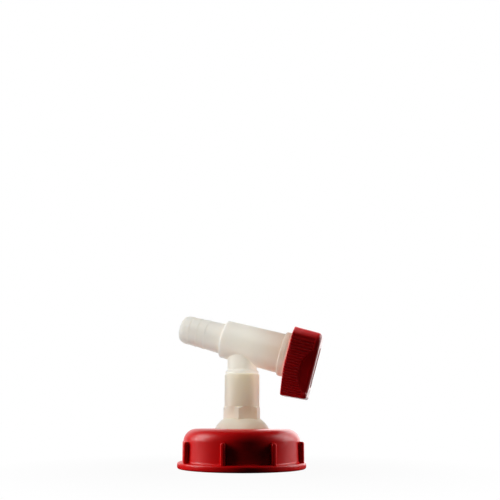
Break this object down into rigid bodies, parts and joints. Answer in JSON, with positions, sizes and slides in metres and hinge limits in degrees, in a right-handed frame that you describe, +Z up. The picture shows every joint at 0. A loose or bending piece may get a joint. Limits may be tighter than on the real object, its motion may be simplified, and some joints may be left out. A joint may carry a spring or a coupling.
{
  "type": "barrel tap",
  "caption": "Canister dispensing tap: ribbed union cap, hexagon adapter, tilted barrel with barbed hose tail and a lever knob on its end.",
  "frame": {"origin": "on the union cap's axis, at the level of its lower rim, where the cap leaves the canister's neck", "axes": "+Z up along the cap's axis; the barrel lies in the XZ plane, hose tail towards -X, knob towards +X"},
  "size_m": [0.082, 0.0716, 0.0855],
  "materials": {
    "cap_red": "moulded polyethylene, satin gloss",
    "knob_red": "moulded polypropylene, satin",
    "natural_plastic": "natural translucent polyethylene, soft sheen",
    "plug_plastic": "natural polypropylene",
    "foam_washer": "expanded polyethylene foam",
    "seal_rubber": "black nitrile rubber"
  },
  "bodies": {
    "cap": {"screw_cap": "cap_red", "neck_gasket": "foam_washer"},
    "tap": {"adapter": "natural_plastic", "spigot_seal": "seal_rubber", "tap_body": "natural_plastic", "retaining_ring": "plug_plastic"},
    "handle": {"knob": "knob_red", "tap_plug": "plug_plastic", "plug_seal_tail": "seal_rubber", "plug_seal_knob": "seal_rubber"}
  },
  "joints": [
    {"name": "cap_swivel", "type": "hinge", "parent": "cap", "child": "tap", "pos_m": [0, 0, 0.02], "axis": [0, 0, 1], "continuous": true},
    {"name": "knob_turn", "type": "hinge", "parent": "tap", "child": "handle", "pos_m": [0, 0, 0.0693], "axis": [0.9659, 0, -0.2588], "range_deg": [0, 90]}
  ]
}
